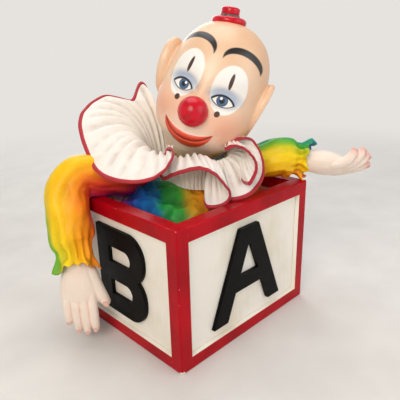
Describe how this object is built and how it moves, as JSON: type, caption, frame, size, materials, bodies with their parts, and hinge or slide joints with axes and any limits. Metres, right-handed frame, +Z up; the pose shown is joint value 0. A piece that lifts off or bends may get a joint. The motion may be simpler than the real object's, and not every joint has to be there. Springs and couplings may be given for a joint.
{
  "type": "jack in the box",
  "caption": "Wooden letter block with an open top and a clown doll on a coil spring inside, bald head tipped, ruffled collar, one arm over the rim and one held out.",
  "frame": {"origin": "middle of the block's underside, on the surface it stands on", "axes": "+Z up, -Y out of the face with the letter A, -X out of the face with the letter B"},
  "size_m": [0.2185, 0.1526, 0.2231],
  "materials": {
    "red_lacquered_wood": "gloss paint",
    "cream_painted_wood": "satin paint",
    "black_painted_wood": "gloss paint",
    "plain_wood": "unfinished",
    "spring_steel": "bright wire",
    "rainbow_satin": "satin, striped in a rainbow of colours",
    "white_voile": "thin crinkled cloth with a red bound edge",
    "painted_bisque_head": "satin, painted by hand",
    "painted_bisque_hands": "satin, painted by hand",
    "red_glaze": "gloss",
    "grey_glaze": "satin"
  },
  "bodies": {
    "box": {"corner_post_ab": "red_lacquered_wood", "corner_post_bc": "red_lacquered_wood", "corner_post_cd": "red_lacquered_wood", "corner_post_da": "red_lacquered_wood", "top_rail_a": "red_lacquered_wood", "top_rail_b": "red_lacquered_wood", "top_rail_c": "red_lacquered_wood", "top_rail_d": "red_lacquered_wood", "bottom_rail_a": "red_lacquered_wood", "bottom_rail_b": "red_lacquered_wood", "bottom_rail_c": "red_lacquered_wood", "bottom_rail_d": "red_lacquered_wood", "side_panel_a": "cream_painted_wood", "side_panel_b": "cream_painted_wood", "side_panel_c": "cream_painted_wood", "side_panel_d": "cream_painted_wood", "letter_a": "black_painted_wood", "letter_b": "black_painted_wood", "letter_c": "black_painted_wood", "letter_d": "black_painted_wood", "base_board": "plain_wood", "base_screws": "spring_steel", "spring_seat": "plain_wood", "coil_spring": "spring_steel"},
    "torso": {"spring_cap": "plain_wood", "neck_post": "plain_wood", "body_cloth": "rainbow_satin", "ruff_collar": "white_voile", "right_upper_sleeve": "rainbow_satin", "left_upper_sleeve": "rainbow_satin"},
    "head": {"head": "painted_bisque_head", "nose": "red_glaze", "hat_brim": "red_glaze", "hat_band": "grey_glaze", "hat_crown": "red_glaze"},
    "right_forearm": {"right_lower_sleeve": "rainbow_satin"},
    "left_forearm": {"left_lower_sleeve": "rainbow_satin"},
    "right_hand": {"right_hand": "painted_bisque_hands"},
    "left_hand": {"left_hand": "painted_bisque_hands"}
  },
  "joints": [
    {"name": "figure_bob", "type": "slide", "parent": "box", "child": "torso", "axis": [0, 0, 1], "range_m": [0, 0.03], "stiffness_N_per_m": 120, "deforming": ["coil_spring"]},
    {"name": "head_turn", "type": "hinge", "parent": "torso", "child": "head", "pos_m": [0, 0, 0.1235], "axis": [0.2774, -0.2975, 0.9135], "range_deg": [-40, 15]},
    {"name": "right_elbow", "type": "hinge", "parent": "torso", "child": "right_forearm", "pos_m": [-0.0755, 0.038, 0.116], "axis": [0, 1, 0], "range_deg": [0, 50]},
    {"name": "left_elbow", "type": "hinge", "parent": "torso", "child": "left_forearm", "pos_m": [0.05675, -0.0469, 0.1182], "axis": [-0.678, -0.735, 0], "range_deg": [0, 50]},
    {"name": "right_wrist", "type": "hinge", "parent": "right_forearm", "child": "right_hand", "pos_m": [-0.0885, 0.019, 0.05989], "axis": [-0.1577, -0.1915, -0.9687], "range_deg": [-35, 35]},
    {"name": "left_wrist", "type": "hinge", "parent": "left_forearm", "child": "left_hand", "pos_m": [0.07045, -0.05953, 0.11447], "axis": [0.7208, -0.6649, -0.1961], "range_deg": [-35, 35]}
  ]
}
